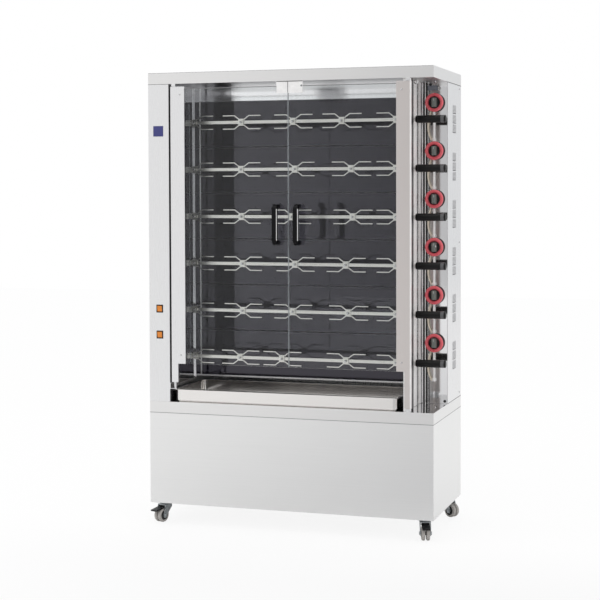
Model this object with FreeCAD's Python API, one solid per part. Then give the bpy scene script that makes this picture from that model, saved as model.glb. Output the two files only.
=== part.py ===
"""Gas chicken rotisserie: a glazed roasting cabinet with six spits on a castor base.

Millimetres. X runs to the operator's right, Y into the depth, Z up from the floor.
The origin is under the middle of the whole object's box.
"""
import FreeCAD, Part
import math
import os

os.makedirs("parts", exist_ok=True)
V = FreeCAD.Vector

# ---------------------------------------------------------------- driving sizes
# overall
cabinet_w = 1140.0
cabinet_d = 500.0
castor_h = 80.0
base_h = 358.0
deck_h = 44.0
chamber_h = 1242.0
cap_h = 44.0
sheet = 2.0

# what stands out of the cabinet's own box
handle_reach = 44.0
grip_overhang = 18.0
inlet_reach = 30.0

# upright partitions, from left to right
column_w = 86.0
lining_t = 22.0
lining_lift = 71.0
seam_d = 209.0
seam_w = 5.0
seam_t = 5.0
rib = 16.0
wall_t = 13.0
bay_w = 107.0
bay_d = 250.0

# fire bricks of glass-ceramic and what is behind them
tile_d = 280.0
tile_t = 5.0
tile_gap = 2.0
box_d = 70.0
burner_r = 14.0
venturi_r = 7.0
ledge_h = 6.0

# spits
spit_count = 6
spit_top = 147.0
spit_foot = 168.5
spit_d = 135.0
bar_side = 12.0
rod_r = 6.0
run_fit = 0.05
socket_side = 22.0
socket_len = 20.0
sprocket_r = 24.0
sprocket_t = 5.0
sprocket_teeth = 8
tooth_h = 4.0
chain_t = 4.0
chain_w = 8.0

# forks: one at each end of a spit, facing in, and three double ones spread between them
fork_bar = 3.6
fork_neck = 12.0
fork_spread = 26.0
fork_reach = 78.0
fork_bend = 30.0
fork_collar_len = 22.0
fork_left_inset = 34.0
fork_right_inset = 54.0
fork_slip = ((-8.0, 0.0, -9.0), (-9.0, 7.0, 28.0), (-8.0, -6.0, 34.0),
             (-4.0, 7.0, 6.0), (-4.0, -3.0, 16.0), (-16.0, -48.0, 6.0))

# grips at the spits' free ends
grip_r = 14.5
grip_len = 116.0
tang_side = 7.0
tang_len = 60.0

# doors
door_gap = 8.0
door_seam = 3.0
door_bay = 84.0
door_t = 12.0
swing_gap = 1.0
glass_t = 6.0
glass_top_gap = 18.0
glass_lift = 151.0
stile_w = 58.0
stile_rebate = 12.0
stile_top_gap = 11.0
leg_w = 27.0
leg_lift_left = 78.0
leg_lift_right = 13.0
pivot_inset = 13.0
pivot_r = 4.0
pivot_cone_r = 6.0
pivot_cone_foot_r = 5.0
pin_gap = 0.5
seat_drop = 24.0
bush_r = 8.0
handle_inset = 42.0
handle_w = 22.0
handle_t = 17.0
handle_h = 156.0
handle_z = 697.0
handle_bend = 24.0

# door catch
catch_w = 104.0
catch_h = 40.0
bumper_r = 6.0
magnet_r = 8.0

# drip tray
tray_left_gap = 8.0
tray_right_gap = 14.0
tray_d = 325.0
tray_set_back = 5.0
tray_h = 48.7
tray_rim = 8.0
tray_corner = 18.0
tray_foot_bevel = 6.0
tray_wall = 1.5
slip = 0.3

# how far a cutting tool runs past the face that it cuts
past = 1.0

# switches on the drive column
switch_x = 44.0
switch_heights = (365.0, 263.0)
bezel_w = 27.0
bezel_h = 31.0
bezel_t = 2.0
bezel_frame = 2.4
bezel_wall = 1.0
rocker_proud = 4.5
rocker_play = 1.0
rocker_pin_r = 1.5
switch_body_d = 22.0

# knobs and gas taps
knob_x = 50.0
knob_rise = 68.0
knob_r = 36.0
knob_ring = 13.0
knob_t = 20.0
knob_floor = 8.0
knob_gap = 5.0
knob_stem_r = 4.0
knob_proud = 5.0
knob_grip_w = 22.0
knob_grip_h = 36.0
tap_w = 26.0
tap_d = 40.0
manifold_r = 11.0
pipe_r = 4.0
inlet_r = 10.5
inlet_rise = 60.0
pilot_r = 3.0
pilot_nut_r = 6.0

# side vents: slits in blocks, blocks in groups, one group beside each spit
vent_d = 340.0
vent_len = 62.0
slit_h = 8.0
slit_pitch = 15.0
slits_per_block = 2
block_pitch = 37.5
blocks_per_group = 3
vent_rise = 53.0
flue_slots = 10
flue_slot_w = 18.0
flue_slot_len = 90.0
flue_inset = 60.0

# castors
castor_inset_x = 42.0
castor_inset_y = 45.0
wheel_r = 27.5
tread_w = 14.0
tread_gap = 4.0
hub_r = 10.0
crown_skirt = 8.0
axle_r = 4.0
trail = 20.0
fork_t = 2.5
fork_side_gap = 2.0
crown_z = 66.0
plate_side = 60.0
plate_t = 3.0
crown_half = 19.0
kingpin_r = 5.0
castor_turn = {"fl": -20.0, "fr": 17.0, "rl": -25.0, "rr": 60.0}
braked = ("fl", "fr")
pedal_w = 30.0
pedal_t = 5.0
pedal_len = 52.0
pedal_fall = 10.0
pedal_knuckle = 4.5
lever_pin_r = 2.0
lever_back = 5.0
lever_drop = 6.0

# drive motor in the foot of the column
motor_r = 30.0
motor_len = 55.0
motor_lift = 78.0

# ---------------------------------------------------------------- places worked out
x_left = -(cabinet_w + grip_overhang) / 2
x_right = x_left + cabinet_w
y_front = -(handle_reach + cabinet_d + inlet_reach) / 2 + handle_reach
y_back = y_front + cabinet_d
z_base = castor_h
z_panel = z_base + base_h
z_deck = z_panel + deck_h
z_cap = z_deck + chamber_h
z_top = z_cap + cap_h

x_column = x_left + column_w
x_lining = x_column + lining_t
x_bay = x_right - bay_w
x_wall = x_bay - wall_t
y_tile = y_front + tile_d
y_box = y_tile + tile_t
y_box_back = y_box + box_d
y_bay = y_front + bay_d
y_spit = y_front + spit_d
spit_pitch = (chamber_h - spit_top - spit_foot) / (spit_count - 1)
spit_z = [z_cap - spit_top - k * spit_pitch for k in range(spit_count)]
z_tiles_top = spit_z[0] + spit_pitch / 2
z_tiles_foot = spit_z[-1] - spit_pitch / 2
knob_z = [z + knob_rise for z in spit_z]
x_knob = x_right - knob_x
x_door_left = x_column + door_gap
x_door_right = x_right - door_bay
door_w = (x_door_right - x_door_left - door_seam) / 2
x_mid = (x_door_left + x_door_right) / 2
y_glass = y_front + (door_t - glass_t) / 2
y_hinge = y_front + door_t / 2
y_behind_doors = y_hinge + math.hypot(pivot_inset, door_t / 2) + swing_gap
x_sprocket = x_column - column_w / 2
x_jet = x_bay + 2 * venturi_r
z_motor = z_deck + motor_lift
half_wheels = tread_w + tread_gap / 2
leg_x = half_wheels + fork_side_gap
lever_y = lever_back - crown_half
lever_z = crown_z - lever_drop


# ---------------------------------------------------------------- shape helpers
def box(x0, x1, y0, y1, z0, z1):
    """A block between two corners."""
    return Part.makeBox(x1 - x0, y1 - y0, z1 - z0, V(x0, y0, z0))


def rod(r, start, end):
    """A round bar from one point to another."""
    a = V(*start)
    run = V(*end) - a
    return Part.makeCylinder(r, run.Length, a, run)


def bar(side, start, end):
    """A square bar along one axis, from one point to another."""
    half = side / 2
    low = [min(a, b) - (0 if a != b else half) for a, b in zip(start, end)]
    high = [max(a, b) + (0 if a != b else half) for a, b in zip(start, end)]
    return box(low[0], high[0], low[1], high[1], low[2], high[2])


def cone(r0, r1, start, end):
    """A tapered round bar from one point to another."""
    a = V(*start)
    run = V(*end) - a
    return Part.makeCone(r0, r1, run.Length, a, run)


def prism(points, run):
    """A flat outline pushed along a vector."""
    outline = Part.makePolygon([V(*p) for p in points] + [V(*points[0])])
    return Part.Face(outline).extrude(V(*run))


def turned(points, centre, axis):
    """A profile of (radius, height) points turned about an axis through centre."""
    outline = Part.makePolygon([V(r, 0, h) for r, h in points] + [V(points[0][0], 0, points[0][1])])
    solid = Part.Face(outline).revolve(V(0, 0, 0), V(0, 0, 1), 360)
    solid.Placement = FreeCAD.Placement(V(*centre), FreeCAD.Rotation(V(0, 0, 1), V(*axis)))
    return solid


def case(x0, x1, y0, y1, z0, z1, wall):
    """A closed sheet-metal box, hollow inside."""
    inside = box(x0 + wall, x1 - wall, y0 + wall, y1 - wall, z0 + wall, z1 - wall)
    return box(x0, x1, y0, y1, z0, z1).cut(inside)


def bar_run(points, side):
    """A square bar bent through points in a plane of constant Y, as one outline pushed along Y."""
    half = side / 2
    high = []
    low = []
    for n, p in enumerate(points):
        before = points[max(n - 1, 0)]
        after = points[min(n + 1, len(points) - 1)]
        a0 = math.atan2(p[2] - before[2], p[0] - before[0]) if n else None
        a1 = math.atan2(after[2] - p[2], after[0] - p[0]) if after != p else a0
        a0 = a1 if a0 is None else a0
        mid = (a0 + a1) / 2
        reach = half / math.cos((a1 - a0) / 2)
        high.append((p[0] - reach * math.sin(mid), p[1] - half, p[2] + reach * math.cos(mid)))
        low.append((p[0] + reach * math.sin(mid), p[1] - half, p[2] - reach * math.cos(mid)))
    return prism(high + low[::-1], (0, side, 0))


def save(name, *shapes):
    """One node, written as one STEP file: a solid or a group of separate solids."""
    solids = [s for shape in shapes for s in shape.Solids]
    result = solids[0] if len(solids) == 1 else Part.makeCompound(solids)
    result.exportStep("parts/" + name + ".step")
    print(name, len(solids), round(sum(s.Volume for s in solids) / 1000.0, 1), "cm3")


# ---------------------------------------------------------------- base and casing
def base_cabinet():
    """Folded cupboard of the base: four walls and a floor, open at the top."""
    outer = box(x_left, x_right, y_front, y_back, z_base, z_panel)
    inside = box(x_left + sheet, x_right - sheet, y_front + sheet, y_back - sheet, z_base + sheet, z_panel)
    return outer.cut(inside)


def base_top():
    """Pressed deck that lies on the base, with four flanges turned down."""
    outer = box(x_left, x_right, y_front, y_back, z_panel, z_deck)
    inside = box(x_left + sheet, x_right - sheet, y_front + sheet, y_back - sheet, z_panel, z_deck - sheet)
    return outer.cut(inside)


def top_cap():
    """Closed lid of the cabinet. Flue slots near the back let the burnt gas out."""
    lid = case(x_left, x_right, y_front, y_back, z_cap, z_top, sheet)
    first = x_column + flue_inset
    last = x_right - flue_inset - flue_slot_w
    step = (last - first) / (flue_slots - 1)
    y0 = y_back - flue_inset - flue_slot_len
    y1 = y0 + flue_slot_len
    starts = [first + i * step for i in range(flue_slots)]
    slots = [box(x, x + flue_slot_w, y0, y1, z_cap - past, z_top + past) for x in starts]
    return lid.cut(Part.makeCompound(slots))


def drive_column():
    """Tall hollow housing of the motor and chain, pierced for shafts and switches."""
    shell = case(x_left, x_column, y_front, y_back, z_deck, z_cap, sheet)
    window = 2 * rod_r + 2 * sheet
    cuts = [bar(window, (x_column - 2 * sheet, y_spit, z), (x_column + past, y_spit, z)) for z in spit_z]
    for rise in switch_heights:
        x = x_left + switch_x
        half_w = bezel_w / 2 - bezel_frame
        half_h = bezel_h / 2 - bezel_frame
        cuts.append(box(x - half_w, x + half_w, y_front - past, y_front + 2 * sheet,
                        z_deck + rise - half_h, z_deck + rise + half_h))
    return shell.cut(Part.makeCompound(cuts))


def slab(x0, x1, z0, z1):
    """A partition of two skins, hollow between the cross ribs that stand at every spit."""
    y0 = y_behind_doors
    y1 = y_box_back
    panel = box(x0, x1, y0, y1, z0, z1)
    ends = [z1] + [z for z in spit_z] + [z0]
    voids = []
    for high, low in zip(ends, ends[1:]):
        top = high - (sheet if high == z1 else rib)
        foot = low + (sheet if low == z0 else rib)
        voids.append(box(x0 + sheet, x1 - sheet, y0 + sheet, y1 - sheet, foot, top))
    return panel.cut(Part.makeCompound(voids))


def left_lining():
    """Insulated partition on the column's side of the chamber, with a raised rib and shaft holes."""
    z0 = z_deck + lining_lift
    pan = slab(x_column, x_lining, z0, z_cap)
    y_seam = y_front + seam_d
    seam = box(x_lining, x_lining + seam_t, y_seam, y_seam + seam_w, z0, z_cap)
    holes = [rod(rod_r + run_fit, (x_column - past, y_spit, z), (x_lining + past, y_spit, z)) for z in spit_z]
    return pan.fuse(seam).cut(Part.makeCompound(holes))


def right_wall():
    """Double-skinned wall between chamber and control bay. Each spit drops into a slot from the front."""
    cuts = []
    r = rod_r + run_fit
    y = y_box + box_d / 2
    for z in spit_z:
        cuts.append(rod(r, (x_wall - past, y_spit, z), (x_bay + past, y_spit, z)))
        cuts.append(box(x_wall - past, x_bay + past, y_behind_doors - past, y_spit, z - r, z + r))
        cuts.append(bar(2 * venturi_r, (x_wall - past, y, z), (x_bay + past, y, z)))
    return slab(x_wall, x_bay, z_deck, z_cap).cut(Part.makeCompound(cuts))


def back_tiles():
    """Six glass-ceramic plates, one behind each spit."""
    half = (spit_pitch - tile_gap) / 2
    return [box(x_lining, x_wall, y_tile, y_box, z - half, z + half) for z in spit_z]


def burner_box():
    """Folded tray behind the plates that holds the burners, with the ledge the plates stand on."""
    z0 = z_tiles_foot
    z1 = z_tiles_top
    outer = box(x_lining, x_wall, y_box, y_box_back, z0, z1)
    inside = box(x_lining + sheet, x_wall - sheet, y_box - past, y_box_back - sheet, z0 + sheet, z1 - sheet)
    ledge = box(x_lining, x_wall, y_tile - sheet, y_box_back, z0 - ledge_h, z0)
    y = y_box + box_d / 2
    holes = [bar(2 * venturi_r, (x_wall - 2 * sheet, y, z), (x_wall + past, y, z)) for z in spit_z]
    return outer.cut(inside).fuse(ledge).cut(Part.makeCompound(holes))


def burners():
    """Six stamped bar burners. The mixing tube of each runs out through the right wall."""
    y = y_box + box_d / 2
    found = []
    for z in spit_z:
        x_end = x_wall - 3 * burner_r
        body = bar(2 * burner_r, (x_lining + sheet, y, z), (x_end, y, z))
        pipe = bar(2 * venturi_r, (x_end, y, z), (x_jet, y, z))
        found.append(body.fuse(pipe))
    return found


def rear_panel():
    """Back cover, a sheet with returned edges."""
    x1 = x_right - sheet
    outer = box(x_column, x1, y_back - lining_t, y_back, z_deck, z_cap)
    inside = box(x_column + sheet, x1 - sheet, y_back - lining_t - past, y_back - sheet,
                 z_deck + sheet, z_cap - sheet)
    x_inlet = x_knob + tap_w / 2 + manifold_r
    z = z_deck + inlet_rise
    hole = rod(inlet_r + sheet, (x_inlet, y_back - 2 * sheet, z), (x_inlet, y_back + past, z))
    return outer.cut(inside).cut(hole)


def side_panel():
    """Right side cover behind the control bay, with blocks of vent slits beside each burner."""
    cover = box(x_right - sheet, x_right, y_bay, y_back, z_deck, z_cap)
    slits = []
    for z in spit_z:
        for block in range(blocks_per_group):
            for n in range(slits_per_block):
                low = z + vent_rise - block * block_pitch - n * slit_pitch
                y0 = y_front + vent_d
                slits.append(box(x_right - 2 * sheet, x_right + past, y0, y0 + vent_len, low - slit_h, low))
    return cover.cut(Part.makeCompound(slits))


def control_panel():
    """Polished plate behind the knobs, with a square hole for each tap spindle."""
    plate = box(x_bay, x_right - sheet, y_bay, y_bay + sheet, z_deck, z_cap)
    window = 2 * knob_stem_r + sheet
    holes = [bar(window, (x_knob, y_bay - past, z), (x_knob, y_bay + 2 * sheet, z)) for z in knob_z]
    return plate.cut(Part.makeCompound(holes))


def valance():
    """Polished strip that closes the back of the chamber above the tiles, with a folded foot."""
    face = box(x_lining, x_wall, y_tile, y_tile + sheet, z_tiles_top, z_cap)
    foot = box(x_lining, x_wall, y_tile, y_box_back, z_tiles_top, z_tiles_top + sheet)
    return face.fuse(foot)


# ---------------------------------------------------------------- doors
def door_edges(side):
    """Outer edge, inner edge and direction inwards of the left (+1) or right (-1) door."""
    if side > 0:
        return x_door_left, x_door_left + door_w
    return x_door_right, x_door_right - door_w


def span(a, b):
    """Two values in rising order."""
    return min(a, b), max(a, b)


def door_glass(side):
    """Toughened pane of one door, let into its stile."""
    outer, inner = door_edges(side)
    x0, x1 = span(outer + side * (stile_w - stile_rebate), inner)
    pane = box(x0, x1, y_glass, y_glass + glass_t, z_deck + glass_lift, z_cap - glass_top_gap)
    return pane


def door_stile(side):
    """Stainless upright at a door's outer edge, notched below the pane to a narrow leg with pivots."""
    outer, inner = door_edges(side)
    axis = outer + side * pivot_inset
    leg_lift = leg_lift_left if side > 0 else leg_lift_right
    z_glass = z_deck + glass_lift
    z_head = z_cap - stile_top_gap
    x0, x1 = span(outer, outer + side * stile_w)
    plate = box(x0, x1, y_front, y_front + door_t, z_glass, z_head)
    r0, r1 = span(outer + side * (stile_w - stile_rebate), outer + side * (stile_w + past))
    rebate = box(r0, r1, y_glass, y_glass + glass_t, z_glass - past, z_cap - glass_top_gap)
    l0, l1 = span(outer, outer + side * leg_w)
    leg = box(l0, l1, y_front, y_front + door_t, z_deck + leg_lift, z_glass)
    pins = [rod(pivot_r, (axis, y_hinge, z_head - past), (axis, y_hinge, z_cap - pin_gap))]
    foot = z_deck + leg_lift
    if side > 0:
        z_seat = foot - seat_drop
        pins.append(cone(pivot_cone_foot_r, pivot_cone_r, (axis, y_hinge, z_seat), (axis, y_hinge, foot)))
        pins.append(rod(pivot_r, (axis, y_hinge, z_seat - sheet), (axis, y_hinge, z_seat)))
    else:
        pins.append(rod(pivot_r, (axis, y_hinge, z_deck + sheet), (axis, y_hinge, foot)))
    return plate.cut(rebate).multiFuse([leg] + pins)


def door_handle(side):
    """Black moulded bow handle bolted through the pane near its free edge."""
    x = x_mid - side * handle_inset
    z0 = z_deck + handle_z - handle_h / 2
    z1 = z0 + handle_h
    y0 = y_glass
    y1 = y_front - handle_reach
    edges = []
    for grow in (0.0, handle_t):
        b = handle_bend - grow
        k = b * (1 - math.sqrt(0.5))
        low, high, out = z0 + grow, z1 - grow, y1 + grow
        edges.append([
            Part.LineSegment(V(x, y0, low), V(x, out + b, low)).toShape(),
            Part.Arc(V(x, out + b, low), V(x, out + k, low + k), V(x, out, low + b)).toShape(),
            Part.LineSegment(V(x, out, low + b), V(x, out, high - b)).toShape(),
            Part.Arc(V(x, out, high - b), V(x, out + k, high - k), V(x, out + b, high)).toShape(),
            Part.LineSegment(V(x, out + b, high), V(x, y0, high)).toShape(),
        ])
    foot_low = Part.LineSegment(V(x, y0, z0 + handle_t), V(x, y0, z0)).toShape()
    foot_high = Part.LineSegment(V(x, y0, z1), V(x, y0, z1 - handle_t)).toShape()
    outline = Part.Wire([foot_low] + edges[0] + [foot_high] + edges[1][::-1])
    bow = Part.Face(outline).extrude(V(handle_w, 0, 0))
    bow.translate(V(-handle_w / 2, 0, 0))
    return bow


def door_fittings():
    """Pivot bushes, the left pivot bracket and the sprung catch in the middle of the cap."""
    found = []
    for side in (1, -1):
        axis = door_edges(side)[0] + side * pivot_inset
        z_low = z_cap - stile_top_gap + pin_gap
        bush = bar(2 * bush_r, (axis, y_hinge, z_low), (axis, y_hinge, z_cap))
        found.append(bush.cut(rod(pivot_r + run_fit, (axis, y_hinge, z_low - past), (axis, y_hinge, z_cap))))
    axis = x_door_right - pivot_inset
    z_bush = z_deck + leg_lift_right - swing_gap
    block = bar(2 * bush_r, (axis, y_hinge, z_deck), (axis, y_hinge, z_bush))
    bore = rod(pivot_r + run_fit, (axis, y_hinge, z_deck + sheet), (axis, y_hinge, z_bush + past))
    found.append(block.cut(bore))
    axis = x_door_left + pivot_inset
    z_seat = z_deck + leg_lift_left - seat_drop - swing_gap
    shelf = box(x_column, axis + bush_r, y_front, y_front + door_t, z_seat - sheet, z_seat)
    upstand = box(x_column, x_column + sheet, y_front, y_front + door_t, z_seat, z_seat + lining_t)
    hole = rod(pivot_r + run_fit, (axis, y_hinge, z_seat - 2 * sheet), (axis, y_hinge, z_seat + past))
    found.append(shelf.fuse(upstand).cut(hole))
    y0 = y_front + door_t + swing_gap
    plate = box(x_mid - catch_w / 2, x_mid + catch_w / 2, y0, y0 + sheet, z_cap - catch_h, z_cap)
    found.append(plate)
    y_back_of_glass = y_glass + glass_t + slip
    bumper_z = z_cap - catch_h / 2 - bumper_r
    found.append(rod(bumper_r, (x_mid, y_back_of_glass, bumper_z), (x_mid, y0, bumper_z)))
    magnet_x = x_mid + catch_w / 4
    found.append(rod(magnet_r, (magnet_x, y_back_of_glass, bumper_z), (magnet_x, y0, bumper_z)))
    return found


# ---------------------------------------------------------------- drip tray
def drip_tray():
    """Pressed tray with rounded corners and a flat rim. It pulls out under the doors."""
    x0 = x_column + tray_left_gap + tray_rim
    x1 = x_wall - tray_right_gap - tray_rim
    y0 = y_front + tray_set_back + tray_rim
    y1 = y0 + tray_d - 2 * tray_rim
    z0 = z_deck + slip
    z1 = z0 + tray_h
    block = box(x0, x1, y0, y1, z0, z1)
    block = block.makeFillet(tray_corner, [e for e in block.Edges if abs(e.tangentAt(0).z) > 0.99])
    foot = [e for e in block.Edges if e.BoundBox.ZMax < z0 + 0.01]
    block = block.makeChamfer(tray_foot_bevel, foot)
    roof = [f for f in block.Faces if f.BoundBox.ZMin > z1 - 0.01]
    pan = block.makeThickness(roof, -tray_wall, 0.001)
    rim = box(x0 - tray_rim, x1 + tray_rim, y0 - tray_rim, y1 + tray_rim, z1 - tray_wall, z1)
    rim = rim.makeFillet(tray_corner, [e for e in rim.Edges if abs(e.tangentAt(0).z) > 0.99])
    return pan.fuse(rim.cut(block))


# ---------------------------------------------------------------- spits and drive
def fork(x, z, ways):
    """Two bent square bars welded to a square collar that slides on the spit."""
    inner = fork_collar_len / 2
    bars = []
    for up in (1, -1):
        neck = z + up * fork_neck
        tip = z + up * fork_spread
        left = [(x - fork_reach, y_spit, tip), (x - fork_bend, y_spit, tip), (x - inner, y_spit, neck)]
        right = [(x + inner, y_spit, neck), (x + fork_bend, y_spit, tip), (x + fork_reach, y_spit, tip)]
        if ways > 0:
            left = [(x - inner, y_spit, neck)]
        if ways < 0:
            right = [(x + inner, y_spit, neck)]
        bars.append(bar_run(left + right, fork_bar))
    half = fork_neck - fork_bar / 2
    collar = box(x - inner, x + inner, y_spit - half, y_spit + half, z - half, z + half)
    return collar.multiFuse(bars).cut(spit_bar(z))


def spit_bar(z):
    """Square part of a skewer, from the bottom of the drive socket to the right wall."""
    half = bar_side / 2
    return box(x_lining + 2 * sheet, x_wall - wall_t, y_spit - half, y_spit + half, z - half, z + half)


def spit(z, slips):
    """Skewer: a square bar with a round journal and a tang at its free end, and five forks on it."""
    x_grip = x_right + grip_overhang - grip_len
    journal = rod(rod_r, (x_wall - wall_t, y_spit, z), (x_grip, y_spit, z))
    tang = bar(tang_side, (x_grip, y_spit, z), (x_grip + tang_len, y_spit, z))
    first = x_lining + fork_left_inset
    last = x_wall - fork_right_inset
    step = (last - first) / (len(slips) + 1)
    forks = [fork(first, z, 1)]
    forks += [fork(first + (n + 1) * step + slip_along, z, 0) for n, slip_along in enumerate(slips)]
    forks.append(fork(last, z, -1))
    return [spit_bar(z).multiFuse([journal, tang])] + forks


def grip(z):
    """Heat-proof handle of black plastic, driven onto the spit's square tang."""
    x1 = x_right + grip_overhang
    x0 = x1 - grip_len
    pocket = bar(tang_side + 2 * run_fit, (x0 - past, y_spit, z), (x0 + tang_len + run_fit, y_spit, z))
    return rod(grip_r, (x0, y_spit, z), (x1, y_spit, z)).cut(pocket)


def sprocket(z):
    """Toothed wheel on a drive shaft, inside the column."""
    points = []
    for n in range(sprocket_teeth):
        for share, r in ((0.0, sprocket_r - tooth_h), (0.5, sprocket_r)):
            a = 2 * math.pi * (n + share) / sprocket_teeth
            points.append((x_sprocket, y_spit + r * math.cos(a), z + r * math.sin(a)))
    return prism(points, (sprocket_t, 0, 0))


def drive_shaft(z):
    """Shaft with its sprocket and, in the chamber, the square socket that takes the spit's end."""
    x_face = x_lining + sheet / 2
    shaft = rod(rod_r, (x_sprocket + sprocket_t, y_spit, z), (x_face, y_spit, z))
    socket = bar(socket_side, (x_face, y_spit, z), (x_face + socket_len, y_spit, z))
    return shaft.multiFuse([sprocket(z), socket]).cut(spit_bar(z))


def chain_drive():
    """Chain loop round all the sprockets, and the geared motor with its own wheel below."""
    top = spit_z[0]
    low = z_motor
    r0 = sprocket_r + slip * 2
    r1 = r0 + chain_t
    x0 = x_sprocket + sprocket_t / 2 - chain_w / 2
    loops = []
    for r in (r1, r0):
        arc_top = Part.Arc(V(x0, y_spit - r, top), V(x0, y_spit, top + r), V(x0, y_spit + r, top)).toShape()
        arc_low = Part.Arc(V(x0, y_spit + r, low), V(x0, y_spit, low - r), V(x0, y_spit - r, low)).toShape()
        down = Part.LineSegment(V(x0, y_spit + r, top), V(x0, y_spit + r, low)).toShape()
        up = Part.LineSegment(V(x0, y_spit - r, low), V(x0, y_spit - r, top)).toShape()
        loops.append(Part.Face(Part.Wire([arc_top, down, arc_low, up])).extrude(V(chain_w, 0, 0)))
    chain = loops[0].cut(loops[1])
    x1 = x_sprocket + sprocket_t + chain_w / 2
    shaft = rod(rod_r, (x_sprocket + sprocket_t, y_spit, z_motor), (x1, y_spit, z_motor))
    gearbox = bar(2 * motor_r, (x1, y_spit, z_motor), (x_column - sheet, y_spit, z_motor))
    x_motor = x_column - sheet - motor_r
    motor = rod(motor_r, (x_motor, y_spit + motor_r, z_motor), (x_motor, y_spit + motor_r + motor_len, z_motor))
    return [chain, sprocket(z_motor).multiFuse([shaft, gearbox, motor])]


# ---------------------------------------------------------------- switches, knobs and gas
def switch_bezels():
    """Black frames and bodies of the two mains switches."""
    found = []
    x = x_left + switch_x
    for rise in switch_heights:
        z = z_deck + rise
        plate = box(x - bezel_w / 2, x + bezel_w / 2, y_front - bezel_t, y_front,
                    z - bezel_h / 2, z + bezel_h / 2)
        half_w = bezel_w / 2 - bezel_frame
        half_h = bezel_h / 2 - bezel_frame
        body = box(x - half_w, x + half_w, y_front, y_front + switch_body_d, z - half_h, z + half_h)
        well = box(x - half_w + bezel_wall, x + half_w - bezel_wall, y_front - bezel_t - past,
                   y_front + bezel_h / 2, z - half_h + bezel_wall, z + half_h - bezel_wall)
        pivots = rod(rocker_pin_r + run_fit, (x - half_w, y_front, z), (x + half_w, y_front, z))
        found.append(plate.fuse(body).cut(well.fuse(pivots)))
    return found


def rocker(rise):
    """Lit rocker of a switch on its two pivot pins, with its lower half pressed in at rest."""
    x = x_left + switch_x
    z = z_deck + rise
    half_w = bezel_w / 2 - bezel_frame - bezel_wall - slip
    half_h = bezel_h / 2 - bezel_frame - bezel_wall - rocker_play
    y = y_front
    outline = [(x - half_w, y + bezel_t, z - half_h), (x - half_w, y - bezel_t / 2, z - half_h),
               (x - half_w, y - bezel_t, z), (x - half_w, y - rocker_proud, z + half_h),
               (x - half_w, y + bezel_t, z + half_h)]
    reach = bezel_w / 2 - bezel_frame - slip
    return prism(outline, (2 * half_w, 0, 0)).fuse(rod(rocker_pin_r, (x - reach, y, z), (x + reach, y, z)))


def knob(z):
    """Dished gas knob: a raised ring round a sunk face, a grip bar across it, and a spindle."""
    y = y_bay - knob_gap
    well = knob_r - knob_ring
    outline = [(0, 0), (knob_r, 0), (knob_r, knob_t), (well, knob_t), (well, knob_floor), (0, knob_floor)]
    dish = turned(outline, (x_knob, y, z), (0, -1, 0))
    w = knob_grip_w / 2
    h = knob_grip_h / 2
    ridge = box(x_knob - w, x_knob + w, y - knob_t - knob_proud, y - knob_floor, z - h, z + h)
    stem = rod(knob_stem_r, (x_knob, y, z), (x_knob, y_bay + tap_d / 2, z))
    return dish.multiFuse([ridge, stem])


def gas_train():
    """Square manifold, six taps on it with pipes down to the burners' jets, and the inlet at the back."""
    half = tap_w / 2
    x_pipe = x_knob + half + manifold_r
    y_tap = y_bay + sheet
    y_pipe = y_tap + tap_d - manifold_r
    z_in = z_deck + inlet_rise
    rail = box(x_pipe - manifold_r, x_pipe + manifold_r, y_pipe - manifold_r, y_pipe + manifold_r,
               z_in - manifold_r, knob_z[0] + half)
    parts = [rod(inlet_r, (x_pipe, y_pipe + manifold_r, z_in), (x_pipe, y_back + inlet_reach, z_in))]
    bores = []
    y_burner = y_box + box_d / 2
    y_down = y_tap + tap_d - pipe_r
    x_down = x_knob - half + pipe_r
    for z, z_spit in zip(knob_z, spit_z):
        parts.append(box(x_knob - half, x_knob + half, y_tap, y_tap + tap_d, z - half, z + half))
        parts.append(bar(2 * pipe_r, (x_down, y_down, z - half), (x_down, y_down, z_spit + venturi_r)))
        parts.append(box(x_jet, x_down + pipe_r, y_down - pipe_r, y_burner + venturi_r,
                         z_spit - venturi_r, z_spit + venturi_r))
        y_end = y_bay + tap_d / 2 + past
        bores.append(rod(knob_stem_r + run_fit, (x_knob, y_tap - past, z), (x_knob, y_end, z)))
    return rail.multiFuse(parts).cut(Part.makeCompound(bores))


def pilot_tubes():
    """Short bright tubes on the face of the control panel, one below each knob, with their nuts."""
    found = []
    y = y_bay - pilot_nut_r
    for z in knob_z:
        z0 = max(z - spit_pitch + knob_r + 2 * pilot_nut_r, z_deck + 4 * pilot_nut_r)
        tube = bar(2 * pilot_r, (x_knob, y, z0), (x_knob, y, z - knob_r - pilot_r))
        nut = box(x_knob - pilot_nut_r, x_knob + pilot_nut_r, y - pilot_nut_r, y_bay, z0 - 2 * pilot_nut_r, z0)
        found.append(tube.fuse(nut))
    return found


# ---------------------------------------------------------------- castors
def corner(key):
    """Swivel axis of the castor at one corner."""
    x = x_left + castor_inset_x if key[1] == "l" else x_right - castor_inset_x
    y = y_front + castor_inset_y if key[0] == "f" else y_back - castor_inset_y
    return x, y


def set_castor(shape, key):
    """Turn a castor piece, made trailing to the front on the Z axis, and set it at its corner."""
    x, y = corner(key)
    moved = shape.copy()
    corner_place = FreeCAD.Placement(V(x, y, 0), FreeCAD.Rotation(V(0, 0, 1), castor_turn[key]))
    moved.Placement = corner_place.multiply(shape.Placement)
    return moved


def castor_plate():
    """Top plate screwed to the base's floor, with the kingpin."""
    plate = bar(plate_side, (0, 0, z_base - plate_t), (0, 0, z_base))
    return plate.fuse(rod(kingpin_r, (0, 0, crown_z - past), (0, 0, z_base - plate_t)))


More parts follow.
